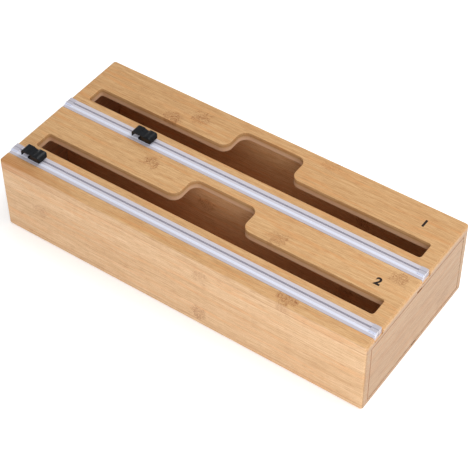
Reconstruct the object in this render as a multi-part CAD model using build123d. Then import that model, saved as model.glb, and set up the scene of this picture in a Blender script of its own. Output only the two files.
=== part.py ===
from build123d import *
import os

# Cling film and foil dispenser: a wooden box with two roll bays side by side. Film from each bay comes up
# through a long slot in the top panel, over a clear plastic rail let into the panel, and is cut by a slide
# cutter that runs along the rail. One end of the box is a loose door held by magnets.
# The origin is at the middle of the base: +X runs along the rolls towards the door, +Y to the back, +Z up.
# All sizes are in millimetres.

# Box
box_length = 345.0
box_depth = 150.0
box_height = 72.0
top_thickness = 8.0
bottom_thickness = 5.0
wall_thickness = 7.0
divider_thickness = 6.0
corner_radius = 2.5
top_edge_radius = 1.8
bottom_edge_radius = 1.5
inner_edge_radius = 0.5

# Door in the +X end, with an even gap all round its edge
door_thickness = 7.0
door_gap = 0.5
door_back_gap = 0.2
door_edge_radius = 0.4

# Magnets: blocks let into the seams above and below the middle of the door
magnet_width = 7.0
magnet_length = 4.6
magnet_height = 1.5
magnet_fit = 0.05
frame_magnet_setback = 0.5
door_magnet_skin = 1.2

# Film slots and finger cut-outs in the top panel; the rear bay repeats the front one at the bay pitch
bay_pitch = 68.0
slot_length = 318.6
slot_width = 17.0
slot_front_y = -45.2
slot_end_radius = 2.5
finger_cut_width = 62.0
finger_cut_depth = 24.5
finger_cut_radius = 8.0

# Rails in grooves that run the full length of the top panel
rail_front_y = -64.3
rail_width = 11.6
rail_height = 6.0
groove_depth = 5.0
groove_fit = 0.25
rail_end_setback = 1.3
rail_floor = 1.2
rail_channel_width = 5.0
rail_channel_height = 2.6
rail_slot_width = 1.8
rail_slot_from_front = 7.3
rail_lip_width = 2.6
rail_lip_drop = 0.45
rail_edge_radius = 0.5

# End stops: a plug in the rail's channel with a thin plate on top of the rail
stop_length = 6.0
stop_plate_thickness = 0.7
stop_fit = 0.05

# Slide cutters; lengths along X are measured from the cutter's right-hand end
cutter_length = 20.5
cutter_width = 10.6
cutter_ahead_of_slot = 1.05
front_cutter_right_x = -139.3
rear_cutter_right_x = -80.3
foot_left = 14.4
foot_right = 2.1
foot_width = 7.8
foot_thickness = 1.7
foot_tip_radius = 0.8
slide_clearance = 0.1
shoe_side_clearance = 0.2
neck_left = 7.0
neck_right = 2.6
neck_width = 1.4
post_width = 4.0
post_height = 3.0
film_gap = 0.5
grip_wing_top = 6.7
grip_wing_thickness = 1.1
grip_wing_slope = 0.2
grip_lip_height = 4.2
grip_lip_thickness = 1.8
grip_body_left = 10.8
grip_hump_radius = 4.7
grip_hump_top = 7.6
grip_dip_top = 5.9
grip_corner_radius = 1.6
grip_crown_radius = 1.8
grip_dip_left = 9.0
grip_hump_length = 8.2
grip_hump_corner_radius = 2.3
grip_wing_width = 9.6
grip_waist_left = 11.5
grip_waist_width = 8.8
grip_base_taper = 0.9
grip_end_round = 2.8
socket_fit = 0.05

# Blades stand upright in the rail's slot, clamped in the grip, with a sloping edge towards the film gap
blade_thickness = 0.4
blade_tip_left = 12.0
blade_foot_left = 10.4
blade_top = 5.0
blade_fit = 0.05

# Cutting tools run this far past the faces that they open
overrun = 2.0

# Places that follow from the sizes above
half_length = box_length / 2
half_depth = box_depth / 2
ceiling_z = box_height - top_thickness
inner_half_depth = half_depth - wall_thickness
door_inner_x = half_length - door_thickness
rail_top_z = box_height - groove_depth + rail_height
rail_bottom_z = box_height - groove_depth
rail_half_length = half_length - rail_end_setback
channel_bottom_z = rail_bottom_z + rail_floor
channel_top_z = channel_bottom_z + rail_channel_height
foot_bottom_z = rail_top_z + slide_clearance
foot_top_z = foot_bottom_z + foot_thickness
bay_shifts = {"front": 0.0, "rear": bay_pitch}


def block(x_span, y_span, z_span):
    """A box between two values on each axis."""
    size = [span[1] - span[0] for span in (x_span, y_span, z_span)]
    middle = [(span[0] + span[1]) / 2 for span in (x_span, y_span, z_span)]
    return Pos(*middle) * Box(*size)


def both_ways(half):
    """The span that runs the same distance to each side of zero."""
    return (-half, half)


def along_x(face_points, x_span):
    """A bar along X whose section is a closed outline of (y, z) points."""
    section = make_face(Polyline(*[(x_span[0], y, z) for y, z in face_points], close=True))
    return extrude(section, amount=x_span[1] - x_span[0], dir=(1, 0, 0))


def slot_profile(shift):
    """The opening of one bay: a long slot that widens to the back into a finger cut-out."""
    slot_back_y = slot_front_y + slot_width
    cut_back_y = slot_back_y + finger_cut_depth
    slot = Pos(0, slot_front_y + slot_width / 2) * Rectangle(slot_length, slot_width)
    cut_middle_y = (slot_front_y + slot_width / 2 + cut_back_y) / 2
    cut = Pos(0, cut_middle_y) * Rectangle(finger_cut_width, 2 * (cut_back_y - cut_middle_y))
    profile = (slot + cut).face()
    ends = [v for v in profile.vertices() if abs(v.X) > (slot_length + finger_cut_width) / 4]
    profile = fillet(ends, slot_end_radius)
    bends = [v for v in profile.vertices() if abs(abs(v.X) - finger_cut_width / 2) < 0.01]
    profile = fillet(bends, finger_cut_radius)
    return Pos(0, shift) * profile


def frame_magnet_spans(upward):
    """Spans of the magnet in the panel above the door (upward) or below it."""
    x_span = (half_length - frame_magnet_setback - magnet_length, half_length - frame_magnet_setback)
    if upward:
        return x_span, both_ways(magnet_width / 2), (ceiling_z, ceiling_z + magnet_height)
    return x_span, both_ways(magnet_width / 2), (bottom_thickness - magnet_height, bottom_thickness)


def door_magnet_spans(upward):
    """Spans of the magnet in the door's top edge (upward) or bottom edge."""
    x_span = (half_length - door_magnet_skin - magnet_length, half_length - door_magnet_skin)
    if upward:
        edge_z = ceiling_z - door_gap
        return x_span, both_ways(magnet_width / 2), (edge_z - magnet_height, edge_z)
    edge_z = bottom_thickness + door_gap
    return x_span, both_ways(magnet_width / 2), (edge_z, edge_z + magnet_height)


def pocket(spans, open_ends):
    """The pocket of a magnet: its own block with the fit added, run out where open_ends says."""
    grown = []
    for span, (low_open, high_open) in zip(spans, open_ends):
        low = span[0] - (low_open if low_open else magnet_fit)
        high = span[1] + (high_open if high_open else magnet_fit)
        grown.append((low, high))
    return block(*grown)


def make_top_panel():
    panel = block(both_ways(half_length), both_ways(half_depth), (ceiling_z, box_height))
    panel = fillet(panel.edges().filter_by(Axis.Z), corner_radius)
    panel = fillet(panel.edges().group_by(Axis.Z)[-1], top_edge_radius)
    for shift in bay_shifts.values():
        cutter = Pos(0, 0, ceiling_z - overrun) * slot_profile(shift)
        panel -= extrude(cutter, amount=top_thickness + 2 * overrun)
    rims = [e for e in panel.edges().group_by(Axis.Z)[-1] if is_slot_rim(e)]
    panel = fillet(rims, inner_edge_radius)
    for shift in bay_shifts.values():
        groove_y = (rail_front_y + shift - groove_fit, rail_front_y + shift + rail_width + groove_fit)
        panel -= block(both_ways(half_length + overrun), groove_y, (rail_bottom_z, box_height + overrun))
    spans = frame_magnet_spans(True)
    return panel - pocket(spans, ((0, overrun), (0, 0), (overrun, 0)))


def is_slot_rim(edge):
    """True for an edge that belongs to a slot or finger cut-out, not to the panel's outline."""
    middle = edge.center()
    return abs(middle.X) < half_length - wall_thickness and abs(middle.Y) < inner_half_depth


def make_bottom_panel():
    panel = block(both_ways(half_length), both_ways(half_depth), (0, bottom_thickness))
    panel = fillet(panel.edges().filter_by(Axis.Z), corner_radius)
    panel = fillet(panel.edges().group_by(Axis.Z)[0], bottom_edge_radius)
    spans = frame_magnet_spans(False)
    return panel - pocket(spans, ((0, overrun), (0, 0), (0, overrun)))


def make_long_wall(side):
    """The front wall (side -1) or the back wall (side +1), between the top and bottom panels."""
    y_span = sorted((side * inner_half_depth, side * half_depth))
    wall = block(both_ways(half_length), y_span, (bottom_thickness, ceiling_z))
    outer = [e for e in wall.edges().filter_by(Axis.Z) if abs(e.center().Y) > half_depth - 0.01]
    return fillet(outer, corner_radius)


def make_left_end():
    x_span = (-half_length, -half_length + wall_thickness)
    return block(x_span, both_ways(inner_half_depth), (bottom_thickness, ceiling_z))


def make_divider():
    x_span = (-half_length + wall_thickness, door_inner_x - door_back_gap)
    return block(x_span, both_ways(divider_thickness / 2), (bottom_thickness, ceiling_z))


def make_door():
    z_span = (bottom_thickness + door_gap, ceiling_z - door_gap)
    door = block((door_inner_x, half_length), both_ways(inner_half_depth - door_gap), z_span)
    door = fillet(door.edges().group_by(Axis.X)[-1], door_edge_radius)
    door -= pocket(door_magnet_spans(True), ((0, 0), (0, 0), (0, overrun)))
    return door - pocket(door_magnet_spans(False), ((0, 0), (0, 0), (overrun, 0)))


def rail_slot_y(shift):
    return rail_front_y + shift + rail_slot_from_front


def make_rail(shift):
    """A clear extrusion: a T-shaped channel under a narrow slot, and a lowered lip along the front."""
    front = rail_front_y + shift
    back = front + rail_width
    lip_z = rail_top_z - rail_lip_drop
    outline = [
        (front, rail_bottom_z),
        (back, rail_bottom_z),
        (back, rail_top_z),
        (front + rail_lip_width + rail_lip_drop, rail_top_z),
        (front + rail_lip_width, lip_z),
        (front, lip_z - rail_lip_drop),
    ]
    span = both_ways(rail_half_length)
    rail = along_x(outline, span)
    back_top = [e for e in rail.edges().filter_by(Axis.X) if e.center().Y > back - 0.01]
    rail = fillet([max(back_top, key=lambda e: e.center().Z)], rail_edge_radius)
    slot_y = rail_slot_y(shift)
    channel_y = (slot_y - rail_channel_width / 2, slot_y + rail_channel_width / 2)
    gap_y = (slot_y - rail_slot_width / 2, slot_y + rail_slot_width / 2)
    cut_x = both_ways(rail_half_length + overrun)
    rail -= block(cut_x, channel_y, (channel_bottom_z, channel_top_z))
    return rail - block(cut_x, gap_y, (channel_top_z, rail_top_z + overrun))


def make_stop(shift, side):
    """The end stop at the left (side -1) or right (side +1) end of a rail."""
    outer = side * rail_half_length
    x_span = sorted((outer, outer - side * stop_length))
    slot_y = rail_slot_y(shift)
    plug_half = rail_channel_width / 2 - stop_fit
    web_half = rail_slot_width / 2 - stop_fit
    plug = block(
        x_span,
        (slot_y - plug_half, slot_y + plug_half),
        (channel_bottom_z + stop_fit, channel_top_z - stop_fit),
    )
    web = block(x_span, (slot_y - web_half, slot_y + web_half), (channel_bottom_z + stop_fit, rail_top_z))
    front = rail_front_y + shift + rail_lip_width + rail_lip_drop
    back = rail_front_y + shift + rail_width - rail_edge_radius
    plate = block(x_span, (front, back), (rail_top_z, rail_top_z + stop_plate_thickness))
    return plug + web + plate


def make_runner(shift, right_x):
    """The lower part of a cutter: a shoe in the channel, a neck in the slot, a foot and a post."""
    slot_y = rail_slot_y(shift)
    middle_y = slot_y - cutter_ahead_of_slot
    length_x = (right_x - foot_left, right_x - foot_right)
    neck_x = (right_x - neck_left, right_x - neck_right)
    shoe_half = rail_channel_width / 2 - shoe_side_clearance
    shoe_z = (channel_bottom_z + slide_clearance, channel_top_z - slide_clearance)
    shoe = block(length_x, (slot_y - shoe_half, slot_y + shoe_half), shoe_z)
    neck = block(neck_x, (slot_y - neck_width / 2, slot_y + neck_width / 2), (shoe_z[0], foot_top_z))
    foot_y = (middle_y - foot_width / 2, middle_y + foot_width / 2)
    foot = block(length_x, foot_y, (foot_bottom_z, foot_top_z))
    tip_edge = max(foot.edges().filter_by(Axis.Y), key=lambda e: e.center().Z - e.center().X)
    foot = fillet(tip_edge, foot_tip_radius)
    foot = fillet(foot.edges().filter_by(Axis.Z), foot_tip_radius)
    post_y = (slot_y - post_width / 2, slot_y + post_width / 2)
    post = block(neck_x, post_y, (foot_bottom_z, foot_top_z + post_height))
    slit_half = blade_thickness / 2 + blade_fit
    slit_x = (right_x - foot_left - overrun, right_x - neck_left)
    slit = block(slit_x, (slot_y - slit_half, slot_y + slit_half), (channel_top_z, foot_top_z + overrun))
    return shoe + neck + (foot - slit) + post


def grip_outline(right_x):
    """The grip's side view in the XZ plane: a flat wing with a turned-down lip, a dip and a round hump."""
    base_z = foot_top_z + film_gap
    wing_z = rail_top_z + grip_wing_top
    under_z = wing_z - grip_wing_thickness
    dip_z = rail_top_z + grip_dip_top
    hump_top_z = rail_top_z + grip_hump_top
    left_x = right_x - cutter_length
    body_x = right_x - grip_body_left
    hump_x = right_x - grip_hump_radius
    lip_z = wing_z - grip_lip_height
    lip_x = left_x + grip_lip_thickness
    lip_half = grip_lip_thickness / 2
    hump_z = hump_top_z - grip_hump_radius
    round_z = wing_z - grip_end_round
    round_x = left_x + grip_end_round
    lines = [
        Line((left_x, lip_z), (left_x, round_z)),
        RadiusArc((left_x, round_z), (round_x, wing_z), grip_end_round),
        Spline(
            (round_x, wing_z),
            (body_x - grip_wing_thickness, wing_z - grip_wing_slope),
            (right_x - grip_dip_left, dip_z),
            (hump_x, hump_top_z),
            tangents=((1, 0), (1, 0)),
        ),
        RadiusArc((hump_x, hump_top_z), (right_x, hump_z), grip_hump_radius),
        Line((right_x, hump_z), (right_x - grip_base_taper, base_z)),
        Line((right_x - grip_base_taper, base_z), (body_x, base_z)),
        Line((body_x, base_z), (body_x, under_z)),
        Line((body_x, under_z), (round_x, under_z)),
        RadiusArc((round_x, under_z), (lip_x, round_z), -(grip_end_round - grip_wing_thickness)),
        Line((lip_x, round_z), (lip_x, lip_z)),
        ThreePointArc((lip_x, lip_z), (left_x + lip_half, lip_z - lip_half), (left_x, lip_z)),
    ]
    return lines


def make_grip(shift, right_x):
    """The upper part of a cutter, which the finger pushes."""
    slot_y = rail_slot_y(shift)
    middle_y = slot_y - cutter_ahead_of_slot
    side = Plane(origin=(0, middle_y + cutter_width / 2, 0), x_dir=(1, 0, 0), z_dir=(0, -1, 0))
    grip = extrude(side * make_face(Wire(grip_outline(right_x))), amount=cutter_width)
    grip = grip & grip_envelope(middle_y, right_x)
    post_y = (slot_y - post_width / 2 - socket_fit, slot_y + post_width / 2 + socket_fit)
    post_x = (right_x - neck_left - socket_fit, right_x - neck_right + socket_fit)
    socket = block(post_x, post_y, (foot_top_z, foot_top_z + post_height + socket_fit))
    slit_half = blade_thickness / 2 + blade_fit
    slit_x = (right_x - blade_tip_left - overrun, right_x - neck_left)
    slit_top = rail_top_z + blade_top + blade_fit
    slit = block(slit_x, (slot_y - slit_half, slot_y + slit_half), (foot_top_z, slit_top))
    return grip - socket - slit


def grip_envelope(middle_y, right_x):
    """The grip's outline seen from above: a rounded hump, a narrower waist and a wing."""
    z_span = (foot_bottom_z, rail_top_z + grip_hump_top)

    def stretch(left, right, width):
        x_span = (right_x - left, right_x - right)
        return block(x_span, (middle_y - width / 2, middle_y + width / 2), z_span)

    hump = stretch(grip_hump_length, 0, cutter_width)
    uprights = hump.edges().filter_by(Axis.Z).group_by(Axis.X)
    hump = fillet(uprights[-1], grip_hump_corner_radius)
    top_rims = hump.edges().group_by(Axis.Z)[-1].sort_by(Axis.X)
    hump = fillet(top_rims[1:], grip_crown_radius)
    wing = stretch(cutter_length, grip_waist_left, grip_wing_width)
    wing = fillet(wing.edges().filter_by(Axis.Z), grip_corner_radius)
    waist = stretch(grip_waist_left + grip_corner_radius, grip_hump_length - 1, grip_waist_width)
    return hump + wing + waist


def make_blade(shift, right_x):
    slot_y = rail_slot_y(shift)
    bottom_z = channel_top_z
    top_z = rail_top_z + blade_top
    points = [
        (right_x - blade_foot_left, bottom_z),
        (right_x - neck_left - blade_fit, bottom_z),
        (right_x - neck_left - blade_fit, top_z),
        (right_x - blade_tip_left, top_z),
    ]
    side = Plane(origin=(0, slot_y + blade_thickness / 2, 0), x_dir=(1, 0, 0), z_dir=(0, -1, 0))
    return extrude(side * make_face(Polyline(*points, close=True)), amount=blade_thickness)


parts = {
    "top_panel": make_top_panel(),
    "bottom_panel": make_bottom_panel(),
    "front_wall": make_long_wall(-1),
    "back_wall": make_long_wall(1),
    "left_end": make_left_end(),
    "divider": make_divider(),
    "door": make_door(),
    "frame_magnet_top": block(*frame_magnet_spans(True)),
    "frame_magnet_bottom": block(*frame_magnet_spans(False)),
    "door_magnet_top": block(*door_magnet_spans(True)),
    "door_magnet_bottom": block(*door_magnet_spans(False)),
}
cutter_right_x = {"front": front_cutter_right_x, "rear": rear_cutter_right_x}
for bay, shift in bay_shifts.items():
    parts[f"{bay}_rail"] = make_rail(shift)
    parts[f"{bay}_rail_left_stop"] = make_stop(shift, -1)
    parts[f"{bay}_rail_right_stop"] = make_stop(shift, 1)
    parts[f"{bay}_cutter_runner"] = make_runner(shift, cutter_right_x[bay])
    parts[f"{bay}_cutter_grip"] = make_grip(shift, cutter_right_x[bay])
    parts[f"{bay}_cutter_blade"] = make_blade(shift, cutter_right_x[bay])

os.makedirs("parts", exist_ok=True)
for name, shape in parts.items():
    export_step(shape, f"parts/{name}.step")
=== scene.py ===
"""Looks for the bamboo film and foil dispenser, laid out as a Blender add-on and run as a script.

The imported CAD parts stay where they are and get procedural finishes. A thin number in ink marks each bay.
"""

import math

import bmesh
import bpy
from mathutils import Matrix, Vector


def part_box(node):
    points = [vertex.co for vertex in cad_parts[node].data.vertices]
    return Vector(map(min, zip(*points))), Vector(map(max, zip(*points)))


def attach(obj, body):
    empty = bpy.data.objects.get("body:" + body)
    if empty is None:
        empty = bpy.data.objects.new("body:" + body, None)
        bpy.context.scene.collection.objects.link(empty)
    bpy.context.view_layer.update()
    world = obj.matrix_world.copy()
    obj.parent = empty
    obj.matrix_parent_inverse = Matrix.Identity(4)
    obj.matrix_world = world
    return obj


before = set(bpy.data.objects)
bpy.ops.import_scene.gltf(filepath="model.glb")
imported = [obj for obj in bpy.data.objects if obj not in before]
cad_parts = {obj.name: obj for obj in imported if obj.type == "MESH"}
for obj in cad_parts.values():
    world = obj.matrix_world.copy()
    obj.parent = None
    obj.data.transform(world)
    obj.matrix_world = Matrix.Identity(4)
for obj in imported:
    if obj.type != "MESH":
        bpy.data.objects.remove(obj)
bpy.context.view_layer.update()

bl_info = {
    "name": "Film and Foil Dispenser",
    "version": (1, 0, 0),
    "blender": (4, 5, 0),
    "location": "View3D > Sidebar > Dispenser",
    "description": "Finishes the boards, rails and slide cutters of a bamboo film and foil dispenser",
    "category": "Object",
}

IN_MILLIMETRES = 1000.0
BAYS = ("front", "rear")

# Each board's grain direction, the direction its strips lie side by side, the place of one glue line
# between its strips, a number that makes its pattern its own, and its knuckles: where a bamboo joint
# crosses a strip, as (along the grain, across it, strength), all in millimetres from the origin.
BOARDS = {
    "top_panel": {
        "grain": "X", "across": "Y", "glue_line": -1.0, "seed": 1149.0,
        "knuckles": ((-68, 57, 0.9), (-88, 44, 1.0), (-70, -8, 0.9), (60, -22, 0.7),
                     (100, -68.5, 1.0), (158, -4, 0.8), (-148, 30, 0.4), (52, 70, 0.4)),
    },
    "bottom_panel": {
        "grain": "X", "across": "Y", "glue_line": 4.0, "seed": 11.0,
        "knuckles": ((-95, -50, 0.8), (40, -12, 0.9), (120, 30, 0.8), (-30, 55, 0.9)),
    },
    "front_wall": {
        "grain": "X", "across": "Z", "glue_line": 43.5, "seed": 91.0,
        "knuckles": ((-133, 36, 0.5), (26, 56, 0.5), (22, 13, 0.9)),
    },
    "back_wall": {
        "grain": "X", "across": "Z", "glue_line": 40.0, "seed": 27.0,
        "knuckles": ((-60, 52, 0.8), (85, 28, 0.9), (-140, 14, 0.7)),
    },
    "divider": {
        "grain": "X", "across": "Z", "glue_line": 38.0, "seed": 35.0,
        "knuckles": ((-20, 48, 0.8), (110, 24, 0.8)),
    },
    "left_end": {
        "grain": "Y", "across": "Z", "glue_line": 41.0, "seed": 43.0,
        "knuckles": ((22, 50, 0.8), (-38, 26, 0.7)),
    },
    "door": {
        "grain": "Y", "across": "Z", "glue_line": 42.5, "seed": 106.0,
        "knuckles": ((44, 14, 0.35),),
    },
}
AXES = "XYZ"

# How far the stroke of a number is thickened, as a share of its height
BOLD_OFFSET = 0.042

# Each bay's number, how far its left side stands from the right-hand end, and how far behind its rail it is
BAY_NUMBERS = {
    "rear": ("1", 0.0295, 0.0366),
    "front": ("2", 0.0295, 0.0333),
}

# The depths under the outermost face, in millimetres, between which the colour of an end edge, of a long
# wall's outer face and of the left end's inner face sets in
EDGE_DEPTHS = (0.8, 0.4)
OUTER_FACE_DEPTHS = (1.0, 0.5)
LEFT_END_DEPTHS = (0.5, 0.1)

# How much of the inside's painted light a long board's inner faces get
INNER_FACE_SHARE = 0.6

# The painted contact shadow along the base, and the heights in millimetres between which it fades out
PAINTED_CONTACT_SHADOW = 0.55
CONTACT_SHADOW_HEIGHTS = (0.2, 1.4)

# How dark the line between two boards is: on the two ends, and on the other faces, where it is only drawn
# between two heights, in millimetres
END_SEAM_SHADE = 0.9
SEAM_SHADE = 0.35
SEAM_HEIGHTS = (1.0, 70.0)

# Where the dark heart streak fades out: along the top panel, and back from its front edge, in millimetres
HEART_RIGHT = -85.0
HEART_DEPTHS = (4.0, 14.0)
HEART_SHADE = 0.75

# The top panel's edges, in millimetres: how far under its top they start, how far the core's colour reaches
# under and over the joint of the plies, and the half width of that joint's dark line
UNDER_TOP = (0.6, 0.3)
CORE_REACH = (4.0, 1.0)
PLY_LINE = (0.15, 0.45)
PLY_LINE_SHADE = 0.38
# How much of the core's colour the slots' walls get, in a tone lightened with painted light, and how much
# the ends get
CORE_SHARE_IN_SLOTS = 0.85
CORE_SHARE_AT_ENDS = 0.9

# Bamboo patterns: the scale of each along its grain and across it, per millimetre
SLOW_BANDS = (0.006, 0.28)
FIBRES = (0.045, 1.35)
THREADS = (0.13, 4.6)
CLOUDS = (0.013, 0.045)
EMBERS = (0.016, 0.22)
CURLS = (0.24, 0.30)
WANDER = (0.25, 0.25)
RAGGED_BORDER = (0.16, 0.20)

# How much each pattern darkens the wood from its palest tone towards its darkest
SLOW_BANDS_SHARE = 0.22
FIBRES_SHARE = 0.54
CLOUDS_SHARE = 0.16
STRIP_SHARE = 0.34

# How strongly the warm streaks, the fine threads and the glue lines are drawn
EMBERS_SHADE = 0.75
THREADS_SHADE = 0.50
GLUE_SHADE = 0.22
GLUE_REACH = 0.012

# Strips take their fibres from places this far apart, so that no two match
STRIP_APART = 91.0

# A knuckle's half length along the grain and half width across it, in millimetres, how ragged its border
# is, how far it bends the fibres and how strongly its curled strokes and the wood between them are marked
KNUCKLE_REACH = (10.0, 9.0)
KNUCKLE_RAGGED = 3.2
KNUCKLE_BEND = 7.0
STROKE_SHADES = (0.95, 0.14)

# The lacquer's shine and the relief of the fibres under it, in metres
LACQUER_SPECULAR = 0.35
FIBRE_RELIEF = 0.00004

# The rails' bands: how far back each lies, as a share of the rail's depth, and the setting with its colour
# The band behind the lip is a painted highlight
RAIL_BANDS = (
    (0.0, "lip_tone"), (0.17, "lip_tone"), (0.22, "painted_highlight_tone"), (0.31, "painted_highlight_tone"),
    (0.40, "middle_tone"), (0.78, "middle_tone"), (1.0, "back_tone"),
)

# The end stops have the same bands, with painted shade for the slot's dark line running on over them
STOP_BANDS = (
    *RAIL_BANDS[:5],
    (0.58, "middle_tone"), (0.61, "painted_slot_shade_tone"), (0.65, "painted_slot_shade_tone"), (0.68, "middle_tone"),
    *RAIL_BANDS[5:],
)
CLEAR_PLASTIC_IOR = 1.5
CLEAR_PLASTIC_STREAKS = (0.01, 1.6, 1.6)
CLEAR_PLASTIC_RELIEF = 0.00003
# The colour of the painted glow that lightens the clear plastic
PAINTED_GLOW_TONE = (0.86, 0.88, 1.0, 1.0)

# The other finishes: the scale of each pattern along X, Y and Z, per millimetre, how many times lighter or
# darker its second colour is, and its relief in metres
CUTTER_GRAINS = (2.6, 2.6, 2.6)
CUTTER_SCUFFS = (0.35, 0.35, 0.35)
CUTTER_LIGHTER = 2.0
CUTTER_SPECULAR = 0.22
CUTTER_RELIEF = 0.00003
BLADE_LINES = (0.6, 2.0, 14.0)
BLADE_DARKER = 0.7
BLADE_RELIEF = 0.00001
FERRITE_SPECKS = (3.0, 3.0, 3.0)
FERRITE_LIGHTER = 2.2
FERRITE_RELIEF = 0.00004
INK_BLOTS = (0.4, 3.0, 1.0)
INK_WORN = 3.0
INK_SPECULAR = 0.15

# The floor lies this far under the base, so that the two don't share a plane, and reaches this far
FLOOR_DROP = 0.0002
FLOOR_REACH = 4.0

# Each light's direction from the object, its distance and the side of its square, in metres
KEY_LIGHT = ((0.35, 0.25, 1.0), 1.2, 0.7)
FILL_LIGHT = ((0.78, -1.0, 0.45), 0.95, 0.5)


class BambooLook(bpy.types.PropertyGroup):
    """Colours and sizes of the bamboo boards."""

    pale_tone: bpy.props.FloatVectorProperty(
        name="Pale tone", description="Colour of the palest fibres", subtype="COLOR", size=3,
        min=0.0, max=1.0, default=(0.68, 0.425, 0.205))
    caramel_tone: bpy.props.FloatVectorProperty(
        name="Caramel tone", description="Colour of the darkest fibres", subtype="COLOR", size=3,
        min=0.0, max=1.0, default=(0.47, 0.245, 0.092))
    orange_tone: bpy.props.FloatVectorProperty(
        name="Orange tone", description="Colour of the warm streaks", subtype="COLOR", size=3,
        min=0.0, max=1.0, default=(0.62, 0.305, 0.115))
    heart_tone: bpy.props.FloatVectorProperty(
        name="Heart tone", description="Colour of the dark streak at the top panel's front corner",
        subtype="COLOR", size=3, min=0.0, max=1.0, default=(0.46, 0.20, 0.065))
    knuckle_tone: bpy.props.FloatVectorProperty(
        name="Knuckle tone", description="Colour of the marks where a bamboo joint crosses a strip",
        subtype="COLOR", size=3, min=0.0, max=1.0, default=(0.30, 0.115, 0.035))
    core_tone: bpy.props.FloatVectorProperty(
        name="Core tone", description="Colour of the cross-laid core of the top panel",
        subtype="COLOR", size=3, min=0.0, max=1.0, default=(0.40, 0.255, 0.155))
    # Painted light: the core on the slots' walls is far lighter than the same core at the ends
    slot_core_painted_light_tone: bpy.props.FloatVectorProperty(
        name="Core tone in the slots", description="Colour of the same core on the slots' walls",
        subtype="COLOR", size=3, min=0.0, max=1.0, default=(0.85, 0.56, 0.37))
    # Painted light: the faces seen through the slots are made lighter and less orange than the same bamboo
    # outside
    inside_painted_light: bpy.props.FloatVectorProperty(
        name="Inside tint", description="Tint of the faces that are seen through the slots", size=3,
        min=0.0, max=2.0, default=(1.30, 1.28, 1.45))
    # Partly the walls' own paler tone, partly painted light: the long walls' outer faces are made lighter
    # and less orange
    front_tone_and_painted_light: bpy.props.FloatVectorProperty(
        name="Long wall tint", description="Tint of the front and back walls", size=3,
        min=0.0, max=2.0, default=(1.08, 1.17, 1.40))
    # Painted shade: the end boards and the long boards' ends are made darker and less orange
    end_painted_shade: bpy.props.FloatVectorProperty(
        name="End board tint", description="Tint of the two end boards", size=3,
        min=0.0, max=2.0, default=(0.77, 0.81, 0.97))
    strip_width: bpy.props.FloatProperty(
        name="Strip width", description="Width of one bamboo strip", subtype="DISTANCE", unit="LENGTH",
        min=0.005, default=0.0225)
    face_ply: bpy.props.FloatProperty(
        name="Face ply", description="Thickness of the top panel's face ply", subtype="DISTANCE",
        unit="LENGTH", min=0.0005, default=0.003)
    seam_width: bpy.props.FloatProperty(
        name="Seam width", description="Width of the dark line where two boards meet",
        subtype="DISTANCE", unit="LENGTH", min=0.0, default=0.0008)
    roughness: bpy.props.FloatProperty(
        name="Roughness", description="Roughness of the satin lacquer", subtype="FACTOR",
        min=0.0, max=1.0, default=0.42)


class RailLook(bpy.types.PropertyGroup):
    """Colours of the clear plastic rails."""

    lip_tone: bpy.props.FloatVectorProperty(
        name="Front lip", description="Colour of the lowered lip along the front", subtype="COLOR", size=3,
        min=0.0, max=1.0, default=(0.56, 0.52, 0.57))
    # A painted highlight: the bright band behind the lip
    painted_highlight_tone: bpy.props.FloatVectorProperty(
        name="Bright band", description="Colour of the bright band behind the lip", subtype="COLOR", size=3,
        min=0.0, max=1.0, default=(0.80, 0.84, 0.98))
    middle_tone: bpy.props.FloatVectorProperty(
        name="Middle", description="Colour beside the slot", subtype="COLOR", size=3,
        min=0.0, max=1.0, default=(0.62, 0.59, 0.64))
    back_tone: bpy.props.FloatVectorProperty(
        name="Back", description="Colour along the back edge", subtype="COLOR", size=3,
        min=0.0, max=1.0, default=(0.66, 0.59, 0.60))
    clearness: bpy.props.FloatProperty(
        name="Clearness", description="Share of light that goes through the plastic", subtype="FACTOR",
        min=0.0, max=1.0, default=0.25)
    stop_clearness: bpy.props.FloatProperty(
        name="Stop clearness", description="Share of light that goes through the end stops",
        subtype="FACTOR", min=0.0, max=1.0, default=0.45)
    # Painted shade: the slot's dark line, drawn on over the end stops
    painted_slot_shade_tone: bpy.props.FloatVectorProperty(
        name="Line", description="Colour of the slot's line where it runs on over a stop", subtype="COLOR",
        size=3, min=0.0, max=1.0, default=(0.34, 0.32, 0.36))
    # A painted glow: the clear plastic glows a little, which lightens it and the slot's line
    painted_glow: bpy.props.FloatProperty(
        name="Painted glow", description="Strength of a painted glow on the clear plastic",
        min=0.0, default=0.08)


class CutterLook(bpy.types.PropertyGroup):
    """Colours of the slide cutters and of the magnets."""

    plastic_tone: bpy.props.FloatVectorProperty(
        name="Plastic", description="Colour of the moulded grip and runner", subtype="COLOR", size=3,
        min=0.0, max=1.0, default=(0.004, 0.0050, 0.0066))
    steel_tone: bpy.props.FloatVectorProperty(
        name="Blade steel", description="Colour of the blade", subtype="COLOR", size=3,
        min=0.0, max=1.0, default=(0.62, 0.63, 0.65))
    ferrite_tone: bpy.props.FloatVectorProperty(
        name="Magnet", description="Colour of the door magnets", subtype="COLOR", size=3,
        min=0.0, max=1.0, default=(0.045, 0.026, 0.020))


class NumberLook(bpy.types.PropertyGroup):
    """Sizes and colour of the numbers that mark the bays."""

    height: bpy.props.FloatProperty(
        name="Height", description="Height of a number", subtype="DISTANCE", unit="LENGTH",
        min=0.002, default=0.0080)
    proud: bpy.props.FloatProperty(
        name="Proud", description="How far the ink stands above the wood", subtype="DISTANCE",
        unit="LENGTH", min=0.00001, default=0.00006)
    sunk: bpy.props.FloatProperty(
        name="Sunk", description="How far the ink goes into the wood", subtype="DISTANCE",
        unit="LENGTH", min=0.00001, default=0.0001)
    ink_tone: bpy.props.FloatVectorProperty(
        name="Ink", description="Colour of the ink", subtype="COLOR", size=3,
        min=0.0, max=1.0, default=(0.020, 0.013, 0.010))


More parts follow.
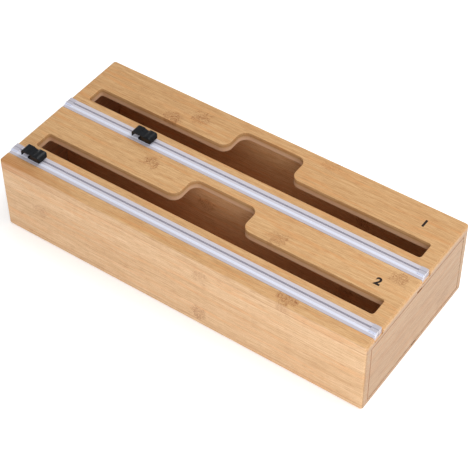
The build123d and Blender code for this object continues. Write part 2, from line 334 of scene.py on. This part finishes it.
class StageLook(bpy.types.PropertyGroup):
    """Camera, lights and floor."""

    camera_azimuth: bpy.props.FloatProperty(
        name="Camera azimuth", description="Turn of the camera round the object", subtype="ANGLE",
        unit="ROTATION", default=math.radians(35.43))
    camera_elevation: bpy.props.FloatProperty(
        name="Camera elevation", description="Height of the camera above the horizon",
        subtype="ANGLE", unit="ROTATION", default=math.radians(46.19))
    camera_roll: bpy.props.FloatProperty(
        name="Camera roll", description="Turn of the camera about its own axis", subtype="ANGLE",
        unit="ROTATION", default=math.radians(-0.61))
    camera_distance: bpy.props.FloatProperty(
        name="Camera distance", description="Distance from the camera to its aim point",
        subtype="DISTANCE", unit="LENGTH", min=0.1, default=1.194)
    camera_lens: bpy.props.FloatProperty(
        name="Camera lens", description="Focal length in millimetres", min=1.0, default=114.43)
    aim_right: bpy.props.FloatProperty(
        name="Aim right", description="Aim point, to the right of the object's middle",
        subtype="DISTANCE", unit="LENGTH", default=0.0045)
    aim_up: bpy.props.FloatProperty(
        name="Aim up", description="Aim point, above the object's middle in the picture",
        subtype="DISTANCE", unit="LENGTH", default=-0.0111)
    aim_height: bpy.props.FloatProperty(
        name="Aim height", description="Height of the object's middle", subtype="DISTANCE",
        unit="LENGTH", default=0.038)
    floor_tone: bpy.props.FloatVectorProperty(
        name="Floor", description="Colour of the floor", subtype="COLOR", size=3,
        min=0.0, max=1.0, default=(0.90, 0.90, 0.90))
    sky_strength: bpy.props.FloatProperty(
        name="Room light", description="Strength of the even light from all round", min=0.0,
        default=0.55)
    floor_glow: bpy.props.FloatProperty(
        name="Floor glow", description="Strength of the light table under the floor", min=0.0,
        default=0.40)
    key_power: bpy.props.FloatProperty(
        name="Key light", description="Power of the soft light overhead, in watts", min=0.0, default=8.0)
    fill_power: bpy.props.FloatProperty(
        name="Fill light", description="Power of the low soft light in front, in watts", min=0.0,
        default=3.15)


# Shader building

def fill(tree, socket, value):
    """Links a socket to another socket, or sets it to a value."""
    if isinstance(value, bpy.types.NodeSocket):
        tree.links.new(value, socket)
    else:
        socket.default_value = value


def put(tree, kind, sockets=None, **settings):
    """Adds a shader node, with its settings and its named sockets."""
    node = tree.nodes.new("ShaderNode" + kind)
    for name, value in settings.items():
        setattr(node, name, value)
    for name, value in (sockets or {}).items():
        fill(tree, node.inputs[name], value)
    return node


def maths(tree, operation, first, second=0.0, third=0.0, clamp=False):
    """One step of arithmetic on sockets or numbers."""
    node = put(tree, "Math", operation=operation, use_clamp=clamp)
    for socket, value in zip(node.inputs, (first, second, third)):
        fill(tree, socket, value)
    return node.outputs[0]


def mix(tree, factor, first, second, mode="MIX"):
    """Mixes two colours."""
    node = put(tree, "Mix", data_type="RGBA", blend_type=mode)
    colours = [socket for socket in node.inputs if socket.type == "RGBA"]
    fill(tree, node.inputs["Factor"], factor)
    for socket, value in zip(colours, (first, second)):
        fill(tree, socket, (*value, 1.0) if isinstance(value, (tuple, Vector)) else value)
    return next(socket for socket in node.outputs if socket.type == "RGBA")


def rise(tree, value, low, high, start=0.0, end=1.0):
    """A smooth step from start to end as value goes from low to high."""
    node = put(tree, "MapRange", {"Value": value, "From Min": low, "From Max": high,
                                  "To Min": start, "To Max": end}, interpolation_type="SMOOTHSTEP")
    return node.outputs["Result"]


def noise(tree, along, across, through, detail=3.0, roughness=0.55, distortion=0.0):
    """Noise in a space whose three directions have their own scales."""
    place = put(tree, "CombineXYZ", {"X": along, "Y": across, "Z": through})
    node = put(tree, "TexNoise", {"Vector": place.outputs[0], "Scale": 1.0, "Detail": detail,
                                  "Roughness": roughness, "Distortion": distortion})
    return node.outputs["Fac"]


def grain_noise(tree, place, scales, **settings):
    """Noise over the place, with a scale per millimetre for each of X, Y and Z."""
    stretched = [maths(tree, "MULTIPLY", place[axis], scale) for axis, scale in zip(AXES, scales)]
    return noise(tree, *stretched, **settings)


def ramp(tree, factor, bands):
    """A colour that changes along a factor, as (place from 0 to 1, colour) in order."""
    node = put(tree, "ValToRGB", {"Fac": factor})
    steps = node.color_ramp.elements
    while len(steps) < len(bands):
        steps.new(1.0)
    for step, (position, tone) in zip(steps, bands):
        step.position = position
        step.color = (*tone, 1.0)
    return node.outputs["Color"]


def random_of(tree, number):
    """A random number from 0 to 1 for each whole number."""
    node = put(tree, "TexWhiteNoise", {"W": number}, noise_dimensions="1D")
    return node.outputs["Value"]


def start_material(name):
    """An empty node material, its surface shader and its place in millimetres."""
    material = bpy.data.materials.new(name)
    material.use_nodes = True
    tree = material.node_tree
    tree.nodes.clear()
    surface = put(tree, "BsdfPrincipled")
    put(tree, "OutputMaterial", {"Surface": surface.outputs["BSDF"]})
    place = put(tree, "TexCoord").outputs["Object"]
    scaled = put(tree, "VectorMath", {0: place, "Scale": IN_MILLIMETRES}, operation="SCALE")
    parts = put(tree, "SeparateXYZ", {0: scaled.outputs[0]})
    return material, tree, surface, parts.outputs


def bump(tree, surface, height, depth):
    """Gives the surface a relief of that depth in metres."""
    node = put(tree, "Bump", {"Strength": 1.0, "Distance": depth, "Height": height})
    tree.links.new(node.outputs["Normal"], surface.inputs["Normal"])


def knuckle_marks(tree, along, across, knuckles, seed):
    """How much of a bamboo joint there is at each place, from 0 to 1."""
    border = noise(tree, maths(tree, "MULTIPLY", along, RAGGED_BORDER[0]),
                   maths(tree, "MULTIPLY", across, RAGGED_BORDER[1]), seed)
    ragged = maths(tree, "MULTIPLY", maths(tree, "SUBTRACT", border, 0.5), KNUCKLE_RAGGED)
    reach_along, reach_across = KNUCKLE_REACH
    total = None
    for mark_along, mark_across, strength in knuckles:
        beside = maths(tree, "DIVIDE", maths(tree, "SUBTRACT", along, mark_along), reach_along)
        above = maths(tree, "DIVIDE", maths(tree, "SUBTRACT", across, mark_across), reach_across)
        squared = maths(tree, "MULTIPLY_ADD", beside, beside, maths(tree, "MULTIPLY", above, above))
        mark = rise(tree, maths(tree, "ADD", squared, ragged), 0.20, 0.95, strength, 0.0)
        mark = maths(tree, "MULTIPLY", mark, rise(tree, squared, 1.2, 1.8, 1.0, 0.0))
        total = mark if total is None else maths(tree, "MAXIMUM", total, mark)
    return total


def strip_noise(tree, scales, along, side, depth, offset, **settings):
    """Noise stretched along the grain, begun at another place for each strip."""
    along_scale, side_scale = scales
    return noise(tree, maths(tree, "MULTIPLY_ADD", along, along_scale, offset),
                 maths(tree, "MULTIPLY", side, side_scale), maths(tree, "MULTIPLY", depth, side_scale),
                 **settings)


def bamboo(name, look, grain, across, glue_line, seed, knuckles):
    """Strip-laminated bamboo with fibres along its grain, knuckles, glue lines and a satin lacquer."""
    material, tree, surface, place = start_material("bamboo_" + name)
    through = next(axis for axis in AXES if axis not in (grain, across))
    along, side, depth = place[grain], place[across], place[through]

    joint = knuckle_marks(tree, along, side, knuckles, seed)
    own_depth = maths(tree, "ADD", depth, seed)
    wander = noise(tree, maths(tree, "MULTIPLY", along, WANDER[0]), maths(tree, "MULTIPLY", side, WANDER[1]),
                   own_depth, detail=2.0)
    pull = maths(tree, "MULTIPLY", joint, KNUCKLE_BEND)
    bend = maths(tree, "MULTIPLY", maths(tree, "SUBTRACT", wander, 0.5), pull)
    side_bent = maths(tree, "ADD", side, bend)

    from_glue = maths(tree, "SUBTRACT", side, glue_line)
    strip = maths(tree, "DIVIDE", from_glue, look.strip_width * IN_MILLIMETRES)
    strip_number = maths(tree, "ADD", maths(tree, "FLOOR", strip), seed)
    strip_random = random_of(tree, strip_number)
    offset = maths(tree, "MULTIPLY", strip_random, STRIP_APART)

    slow_bands = strip_noise(tree, SLOW_BANDS, along, side_bent, depth, offset, detail=3.0)
    fibres = strip_noise(tree, FIBRES, along, side_bent, depth, offset, detail=4.0, roughness=0.6)
    threads = strip_noise(tree, THREADS, along, side_bent, depth, offset, detail=1.0)
    clouds = noise(tree, maths(tree, "MULTIPLY_ADD", along, CLOUDS[0], offset),
                   maths(tree, "MULTIPLY", side, CLOUDS[1]), own_depth, detail=2.0)

    darkness = maths(tree, "MULTIPLY", rise(tree, slow_bands, 0.30, 0.70), SLOW_BANDS_SHARE)
    darkness = maths(tree, "MULTIPLY_ADD", rise(tree, fibres, 0.38, 0.62), FIBRES_SHARE, darkness)
    darkness = maths(tree, "MULTIPLY_ADD", clouds, CLOUDS_SHARE, darkness)
    own_shade = maths(tree, "SUBTRACT", strip_random, 0.5)
    darkness = maths(tree, "MULTIPLY_ADD", own_shade, STRIP_SHARE, darkness)
    colour = mix(tree, darkness, look.pale_tone[:], look.caramel_tone[:])
    embers = strip_noise(tree, EMBERS, along, side, depth, offset, detail=5.0, roughness=0.70)
    ember_shade = rise(tree, embers, 0.48, 0.66, 0.0, EMBERS_SHADE)
    colour = mix(tree, ember_shade, colour, look.orange_tone[:])
    thread_shade = rise(tree, threads, 0.54, 0.66, 0.0, THREADS_SHADE)
    colour = mix(tree, thread_shade, colour, look.knuckle_tone[:])

    curls = noise(tree, maths(tree, "MULTIPLY", along, CURLS[0]),
                  maths(tree, "MULTIPLY", side_bent, CURLS[1]), own_depth, detail=2.0, distortion=2.4)
    from_stroke = maths(tree, "ABSOLUTE", maths(tree, "SUBTRACT", curls, 0.5))
    strokes = rise(tree, from_stroke, 0.015, 0.060, *STROKE_SHADES)
    colour = mix(tree, maths(tree, "MULTIPLY", strokes, joint), colour, look.knuckle_tone[:])

    into_strip = maths(tree, "PINGPONG", strip, 0.5)
    glue_shade = rise(tree, into_strip, 0.0, GLUE_REACH, GLUE_SHADE, 0.0)
    colour = mix(tree, glue_shade, colour, look.knuckle_tone[:])

    fill(tree, surface.inputs["Base Color"], colour)
    satin = maths(tree, "MULTIPLY_ADD", fibres, 0.16, look.roughness - 0.08)
    fill(tree, surface.inputs["Roughness"], satin)
    surface.inputs["Specular IOR Level"].default_value = LACQUER_SPECULAR
    relief = maths(tree, "ADD", maths(tree, "MULTIPLY", fibres, 0.6), maths(tree, "MULTIPLY", threads, 0.4))
    bump(tree, surface, relief, FIBRE_RELIEF)
    return material, tree, surface, colour, place


def dress(node, material):
    """Gives a CAD node its finish."""
    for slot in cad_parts[node].material_slots:
        slot.material = material


def outwards(tree, distance, outermost, depths):
    """A step from 0 to 1, as the distance from the middle passes two depths under the outermost face."""
    start, whole = depths
    return rise(tree, distance, outermost - start, outermost - whole)


def edge_plies(tree, colour, place, look, corner):
    """Colours the top panel's edges: the cross-laid core in the slots, lightened there with painted light,
    and at the ends, and a plain front edge with the long walls' tint, which is partly painted light.
    """
    half_length, half_depth, top = (value * IN_MILLIMETRES for value in corner)
    under, clear_of = UNDER_TOP
    below = rise(tree, place["Z"], top - under, top - clear_of, 1.0, 0.0)
    core_top = top - look.face_ply * IN_MILLIMETRES
    core_under, core_over = CORE_REACH
    core = rise(tree, place["Z"], core_top - core_under, core_top + core_over, 1.0, 0.0)
    from_line = maths(tree, "ABSOLUTE", maths(tree, "SUBTRACT", place["Z"], core_top))
    ply_line = rise(tree, from_line, *PLY_LINE, PLY_LINE_SHADE, 0.0)
    end_edge = outwards(tree, maths(tree, "ABSOLUTE", place["X"]), half_length, EDGE_DEPTHS)
    front_edge = outwards(tree, maths(tree, "ABSOLUTE", place["Y"]), half_depth, EDGE_DEPTHS)
    slots = maths(tree, "SUBTRACT", below, maths(tree, "MAXIMUM", end_edge, front_edge), clamp=True)
    slot_core = maths(tree, "MULTIPLY", core, CORE_SHARE_IN_SLOTS)
    # Painted light: the core on the slots' walls gets its lighter tone
    in_slots = mix(tree, slot_core, colour, look.slot_core_painted_light_tone[:])
    in_slots = mix(tree, ply_line, in_slots, look.knuckle_tone[:])
    # The front edge gets the long walls' paler tone with painted light
    in_front = mix(tree, 1.0, colour, look.front_tone_and_painted_light[:], mode="MULTIPLY")
    in_end = mix(tree, maths(tree, "MULTIPLY", core, CORE_SHARE_AT_ENDS), colour, look.core_tone[:])
    colour = mix(tree, slots, colour, in_slots)
    colour = mix(tree, maths(tree, "MULTIPLY", front_edge, below), colour, in_front)
    return mix(tree, maths(tree, "MULTIPLY", end_edge, below), colour, in_end)


def long_wall_tints(tree, colour, place, look, half_length, half_depth):
    """Tints a board that runs the box's length: its inner faces lighter with painted light, its outer face
    paler in tone and lighter with painted light, and its ends darker with painted shade.
    """
    outer_face = outwards(tree, maths(tree, "ABSOLUTE", place["Y"]), half_depth, OUTER_FACE_DEPTHS)
    inner_face = maths(tree, "SUBTRACT", INNER_FACE_SHARE, outer_face, clamp=True)
    end_edge = outwards(tree, maths(tree, "ABSOLUTE", place["X"]), half_length, EDGE_DEPTHS)
    inner_face = maths(tree, "SUBTRACT", inner_face, end_edge, clamp=True)
    outer_face = maths(tree, "SUBTRACT", outer_face, end_edge, clamp=True)
    # Painted light on the inner faces
    colour = mix(tree, inner_face, colour, look.inside_painted_light[:], mode="MULTIPLY")
    # Paler tone and painted light on the outer face
    colour = mix(tree, outer_face, colour, look.front_tone_and_painted_light[:], mode="MULTIPLY")
    # Painted shade on the ends
    return mix(tree, end_edge, colour, look.end_painted_shade[:], mode="MULTIPLY")


def heart_streak(tree, colour, place, look, half_length, half_depth):
    """Darkens the top panel towards its front left corner, in streaks."""
    near, far = HEART_DEPTHS
    heart = maths(tree, "MULTIPLY", rise(tree, place["X"], -half_length, HEART_RIGHT, HEART_SHADE, 0.0),
                  rise(tree, place["Y"], near - half_depth, far - half_depth, 1.0, 0.0))
    streaks = noise(tree, maths(tree, "MULTIPLY", place["X"], 0.03), place["Y"], place["Z"])
    heart = maths(tree, "MULTIPLY", heart, rise(tree, streaks, 0.35, 0.60, 0.35, 1.3))
    return mix(tree, heart, colour, look.heart_tone[:])


class DISPENSER_OT_boards(bpy.types.Operator):
    """Finish the bamboo boards of the case and the door"""

    bl_idname = "dispenser.boards"
    bl_label = "Finish the bamboo boards"

    def execute(self, context):
        look = context.scene.dispenser_bamboo
        half_length, half_depth, _ = (side * IN_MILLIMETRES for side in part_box("top_panel")[1])
        seam = look.seam_width * IN_MILLIMETRES
        for node, facts in BOARDS.items():
            material, tree, surface, colour, place = bamboo(node, look, **facts)
            low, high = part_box(node)
            is_end = facts["grain"] == "Y"
            if is_end:
                # Painted shade over the whole end board
                colour = mix(tree, 1.0, colour, look.end_painted_shade[:], mode="MULTIPLY")
            elif node.endswith("_wall") or node == "bottom_panel":
                colour = long_wall_tints(tree, colour, place, look, half_length, half_depth)
            if node == "top_panel":
                colour = heart_streak(tree, colour, place, look, half_length, half_depth)
                colour = edge_plies(tree, colour, place, look, high)
            elif node == "divider":
                # Painted light over the whole divider
                colour = mix(tree, 1.0, colour, look.inside_painted_light[:], mode="MULTIPLY")
            elif node == "left_end":
                # Painted light on the left end's inner face
                inner_edge = high.x * IN_MILLIMETRES
                inner_face = outwards(tree, place["X"], inner_edge, LEFT_END_DEPTHS)
                colour = mix(tree, inner_face, colour, look.inside_painted_light[:], mode="MULTIPLY")
            if node == "bottom_panel":
                # Painted contact shadow along the base of the bottom panel
                contact_shadow = rise(tree, place["Z"], *CONTACT_SHADOW_HEIGHTS, PAINTED_CONTACT_SHADOW, 0.0)
                colour = mix(tree, contact_shadow, colour, look.knuckle_tone[:])
            edges = [("Z", low.z, 1.0), ("Z", high.z, -1.0)]
            if node == "door":
                edges += [("Y", low.y, 1.0), ("Y", high.y, -1.0)]
            shade_there = END_SEAM_SHADE if is_end else SEAM_SHADE
            for axis, edge, inside in edges:
                edge *= IN_MILLIMETRES
                if axis == "Y" or SEAM_HEIGHTS[0] < edge < SEAM_HEIGHTS[1]:
                    shade = rise(tree, place[axis], edge, edge + inside * seam, shade_there, 0.0)
                    colour = mix(tree, shade, colour, look.knuckle_tone[:])
            fill(tree, surface.inputs["Base Color"], colour)
            dress(node, material)
        return {"FINISHED"}


def clear_plastic(bay, part, look, clearness):
    """Clear plastic with a painted glow, in bands from the lowered front lip to the back edge, one of them a
    painted highlight.
    """
    material, tree, surface, place = start_material(f"clear_plastic_{bay}_{part}")
    front, back = (corner.y * IN_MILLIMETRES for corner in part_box(f"{bay}_rail"))
    inward = maths(tree, "DIVIDE", maths(tree, "SUBTRACT", place["Y"], front), back - front)
    bands = STOP_BANDS if part == "stops" else RAIL_BANDS
    # The bands hold a painted highlight, and on the stops the slot's line as painted shade
    colour = ramp(tree, inward, [(position, getattr(look, tone)) for position, tone in bands])
    streaks = grain_noise(tree, place, CLEAR_PLASTIC_STREAKS, detail=3.0)
    shade = rise(tree, streaks, 0.35, 0.70, 0.0, 0.12)
    fill(tree, surface.inputs["Base Color"], mix(tree, shade, colour, look.lip_tone[:]))
    fill(tree, surface.inputs["Roughness"], maths(tree, "MULTIPLY_ADD", streaks, 0.12, 0.12))
    surface.inputs["Transmission Weight"].default_value = clearness
    surface.inputs["IOR"].default_value = CLEAR_PLASTIC_IOR
    # A painted glow all over the plastic
    surface.inputs["Emission Color"].default_value = PAINTED_GLOW_TONE
    surface.inputs["Emission Strength"].default_value = look.painted_glow
    bump(tree, surface, streaks, CLEAR_PLASTIC_RELIEF)
    return material


class DISPENSER_OT_rails(bpy.types.Operator):
    """Finish the clear plastic rails and their end stops"""

    bl_idname = "dispenser.rails"
    bl_label = "Finish the cutter rails"

    def execute(self, context):
        look = context.scene.dispenser_rail
        for bay in BAYS:
            dress(f"{bay}_rail", clear_plastic(bay, "rail", look, look.clearness))
            stops = clear_plastic(bay, "stops", look, look.stop_clearness)
            for side in ("left", "right"):
                dress(f"{bay}_rail_{side}_stop", stops)
        return {"FINISHED"}


class DISPENSER_OT_cutters(bpy.types.Operator):
    """Finish the moulded grips and runners of the slide cutters"""

    bl_idname = "dispenser.cutters"
    bl_label = "Finish the slide cutters"

    def execute(self, context):
        look = context.scene.dispenser_cutter
        material, tree, surface, place = start_material("moulded_black_plastic")
        grains = grain_noise(tree, place, CUTTER_GRAINS, detail=3.0)
        scuffs = grain_noise(tree, place, CUTTER_SCUFFS, detail=4.0)
        lighter = tuple(c * CUTTER_LIGHTER for c in look.plastic_tone)
        fill(tree, surface.inputs["Base Color"],
             mix(tree, rise(tree, scuffs, 0.4, 0.75), look.plastic_tone[:], lighter))
        fill(tree, surface.inputs["Roughness"], maths(tree, "MULTIPLY_ADD", scuffs, 0.20, 0.20))
        surface.inputs["Specular IOR Level"].default_value = CUTTER_SPECULAR
        bump(tree, surface, grains, CUTTER_RELIEF)
        for bay in BAYS:
            for piece in ("grip", "runner"):
                dress(f"{bay}_cutter_{piece}", material)
        return {"FINISHED"}


class DISPENSER_OT_blades(bpy.types.Operator):
    """Finish the steel blades"""

    bl_idname = "dispenser.blades"
    bl_label = "Finish the blades"

    def execute(self, context):
        look = context.scene.dispenser_cutter
        material, tree, surface, place = start_material("brushed_blade_steel")
        lines = grain_noise(tree, place, BLADE_LINES, detail=3.0)
        darker = tuple(c * BLADE_DARKER for c in look.steel_tone)
        fill(tree, surface.inputs["Base Color"], mix(tree, lines, darker, look.steel_tone[:]))
        surface.inputs["Metallic"].default_value = 1.0
        fill(tree, surface.inputs["Roughness"], maths(tree, "MULTIPLY_ADD", lines, 0.2, 0.22))
        bump(tree, surface, lines, BLADE_RELIEF)
        for bay in BAYS:
            dress(f"{bay}_cutter_blade", material)
        return {"FINISHED"}


class DISPENSER_OT_magnets(bpy.types.Operator):
    """Finish the ferrite magnets that hold the door"""

    bl_idname = "dispenser.magnets"
    bl_label = "Finish the door magnets"

    def execute(self, context):
        look = context.scene.dispenser_cutter
        material, tree, surface, place = start_material("sintered_ferrite")
        specks = grain_noise(tree, place, FERRITE_SPECKS, detail=4.0)
        lighter = tuple(c * FERRITE_LIGHTER for c in look.ferrite_tone)
        fill(tree, surface.inputs["Base Color"],
             mix(tree, rise(tree, specks, 0.45, 0.75), look.ferrite_tone[:], lighter))
        fill(tree, surface.inputs["Roughness"], maths(tree, "MULTIPLY_ADD", specks, 0.3, 0.5))
        bump(tree, surface, specks, FERRITE_RELIEF)
        for owner in ("frame", "door"):
            for end in ("top", "bottom"):
                dress(f"{owner}_magnet_{end}", material)
        return {"FINISHED"}


def numeral(name, text, height, left, bottom, base, top):
    """A number lying on the wood, read from the front, as a closed mesh between two heights."""
    curve = bpy.data.curves.new(name, "FONT")
    curve.body = text
    curve.size = 1.0
    curve.extrude = 0.5
    curve.offset = BOLD_OFFSET
    writing = bpy.data.objects.new(name + "_writing", curve)
    bpy.context.scene.collection.objects.link(writing)
    bpy.context.view_layer.update()
    shape = bpy.data.meshes.new_from_object(writing.evaluated_get(bpy.context.evaluated_depsgraph_get()))
    bpy.data.objects.remove(writing)
    bpy.data.curves.remove(curve)

    form = bmesh.new()
    form.from_mesh(shape)
    bmesh.ops.remove_doubles(form, verts=form.verts, dist=0.0001)
    low = Vector(min(v.co[i] for v in form.verts) for i in range(3))
    high = Vector(max(v.co[i] for v in form.verts) for i in range(3))
    scale = height / (high.y - low.y)
    deep = (top - base) / (high.z - low.z)
    bmesh.ops.translate(form, verts=form.verts, vec=-low)
    bmesh.ops.scale(form, verts=form.verts, vec=(scale, scale, deep))
    bmesh.ops.translate(form, verts=form.verts, vec=(left, bottom, base))
    bmesh.ops.recalc_face_normals(form, faces=form.faces)
    shape.clear_geometry()
    form.to_mesh(shape)
    form.free()
    shape.name = name
    piece = bpy.data.objects.new(name, shape)
    bpy.context.scene.collection.objects.link(piece)
    return piece


class DISPENSER_OT_bay_numbers(bpy.types.Operator):
    """Mark each bay with a plain number in dark ink"""

    bl_idname = "dispenser.bay_numbers"
    bl_label = "Mark the bays with numbers"

    def execute(self, context):
        look = context.scene.dispenser_number
        material, tree, surface, place = start_material("dark_ink")
        blots = grain_noise(tree, place, INK_BLOTS, detail=3.0)
        worn = tuple(c * INK_WORN for c in look.ink_tone)
        fill(tree, surface.inputs["Base Color"],
             mix(tree, rise(tree, blots, 0.5, 0.8), look.ink_tone[:], worn))
        fill(tree, surface.inputs["Roughness"], maths(tree, "MULTIPLY_ADD", blots, 0.2, 0.55))
        surface.inputs["Specular IOR Level"].default_value = INK_SPECULAR
        surface_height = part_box("top_panel")[1].z
        right_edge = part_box("top_panel")[1].x
        for bay, (text, from_edge, behind_rail) in BAY_NUMBERS.items():
            rail_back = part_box(f"{bay}_rail")[1].y
            piece = numeral(f"{bay}_bay_number", text, look.height, right_edge - from_edge,
                            rail_back + behind_rail, surface_height - look.sunk,
                            surface_height + look.proud)
            piece.data.materials.append(material)
            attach(piece, "case")
        return {"FINISHED"}


def soft_light(name, direction, distance, size, power, aim):
    """A square area light that shines at a point."""
    data = bpy.data.lights.new(name, "AREA")
    data.shape = "SQUARE"
    data.size = size
    data.energy = power
    light = bpy.data.objects.new(name, data)
    bpy.context.scene.collection.objects.link(light)
    away = Vector(direction).normalized()
    light.location = aim + away * distance
    light.rotation_mode = "QUATERNION"
    light.rotation_quaternion = away.to_track_quat("Z", "Y")


class DISPENSER_OT_stage(bpy.types.Operator):
    """Set the floor, the soft light and the camera"""

    bl_idname = "dispenser.stage"
    bl_label = "Set the stage"

    def execute(self, context):
        look = context.scene.dispenser_stage
        scene = context.scene
        scene.view_settings.view_transform = "Standard"

        form = bmesh.new()
        bmesh.ops.create_grid(form, x_segments=2, y_segments=2, size=FLOOR_REACH)
        bmesh.ops.translate(form, verts=form.verts, vec=(0.0, 0.0, -FLOOR_DROP))
        shape = bpy.data.meshes.new("studio_floor")
        form.to_mesh(shape)
        form.free()
        floor = bpy.data.objects.new("studio_floor", shape)
        scene.collection.objects.link(floor)
        material, tree, surface, place = start_material("studio_paper")
        tooth = noise(tree, place["X"], place["Y"], place["Z"])
        darker = tuple(c * 0.99 for c in look.floor_tone)
        fill(tree, surface.inputs["Base Color"], mix(tree, tooth, darker, look.floor_tone[:]))
        surface.inputs["Roughness"].default_value = 0.9
        surface.inputs["Specular IOR Level"].default_value = 0.0
        surface.inputs["Emission Color"].default_value = (1.0, 1.0, 1.0, 1.0)
        surface.inputs["Emission Strength"].default_value = look.floor_glow
        shape.materials.append(material)

        world = bpy.data.worlds.new("studio_room")
        world.use_nodes = True
        background = world.node_tree.nodes["Background"]
        background.inputs["Color"].default_value = (1.0, 1.0, 1.0, 1.0)
        background.inputs["Strength"].default_value = look.sky_strength
        scene.world = world

        aim = Vector((0.0, 0.0, look.aim_height))
        soft_light("key_light", *KEY_LIGHT, look.key_power, aim)
        soft_light("fill_light", *FILL_LIGHT, look.fill_power, aim)

        turn, lift, roll = look.camera_azimuth, look.camera_elevation, look.camera_roll
        back = Vector((math.sin(turn) * math.cos(lift), -math.cos(turn) * math.cos(lift), math.sin(lift)))
        level = Vector((math.cos(turn), math.sin(turn), 0.0))
        steep = back.cross(level)
        right = math.cos(roll) * level + math.sin(roll) * steep
        up = back.cross(right)
        camera_data = bpy.data.cameras.new("camera")
        camera_data.lens = look.camera_lens
        camera = bpy.data.objects.new("camera", camera_data)
        scene.collection.objects.link(camera)
        camera.rotation_mode = "QUATERNION"
        camera.rotation_quaternion = Matrix((right, up, back)).transposed().to_quaternion()
        camera.location = aim + right * look.aim_right + up * look.aim_up + back * look.camera_distance
        scene.camera = camera
        return {"FINISHED"}


class DISPENSER_PT_panel(bpy.types.Panel):
    """Lists the steps that finish the dispenser"""

    bl_idname = "DISPENSER_PT_panel"
    bl_label = "Film and foil dispenser"
    bl_space_type = "VIEW_3D"
    bl_region_type = "UI"
    bl_category = "Dispenser"

    def draw(self, context):
        layout = self.layout
        for group, steps in SECTIONS:
            box = layout.box()
            for step in steps:
                box.operator(step.bl_idname)
            settings = getattr(context.scene, group)
            for name in settings.__annotations__:
                box.prop(settings, name)


LOOKS = {
    "dispenser_bamboo": BambooLook,
    "dispenser_rail": RailLook,
    "dispenser_cutter": CutterLook,
    "dispenser_number": NumberLook,
    "dispenser_stage": StageLook,
}
SECTIONS = (
    ("dispenser_bamboo", (DISPENSER_OT_boards,)),
    ("dispenser_rail", (DISPENSER_OT_rails,)),
    ("dispenser_cutter", (DISPENSER_OT_cutters, DISPENSER_OT_blades, DISPENSER_OT_magnets)),
    ("dispenser_number", (DISPENSER_OT_bay_numbers,)),
    ("dispenser_stage", (DISPENSER_OT_stage,)),
)
OPERATORS = tuple(step for _, steps in SECTIONS for step in steps)


def register():
    """Adds the settings, steps and panel to Blender."""
    for group, look in LOOKS.items():
        bpy.utils.register_class(look)
        setattr(bpy.types.Scene, group, bpy.props.PointerProperty(type=look))
    for item in (*OPERATORS, DISPENSER_PT_panel):
        bpy.utils.register_class(item)


def unregister():
    """Takes the settings, steps and panel out of Blender."""
    for item in reversed((*OPERATORS, DISPENSER_PT_panel)):
        bpy.utils.unregister_class(item)
    for group, look in reversed(LOOKS.items()):
        delattr(bpy.types.Scene, group)
        bpy.utils.unregister_class(look)


def main():
    """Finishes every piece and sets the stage."""
    register()
    bpy.ops.dispenser.boards()
    bpy.ops.dispenser.rails()
    bpy.ops.dispenser.cutters()
    bpy.ops.dispenser.blades()
    bpy.ops.dispenser.magnets()
    bpy.ops.dispenser.bay_numbers()
    bpy.ops.dispenser.stage()


if __name__ == "__main__":
    main()
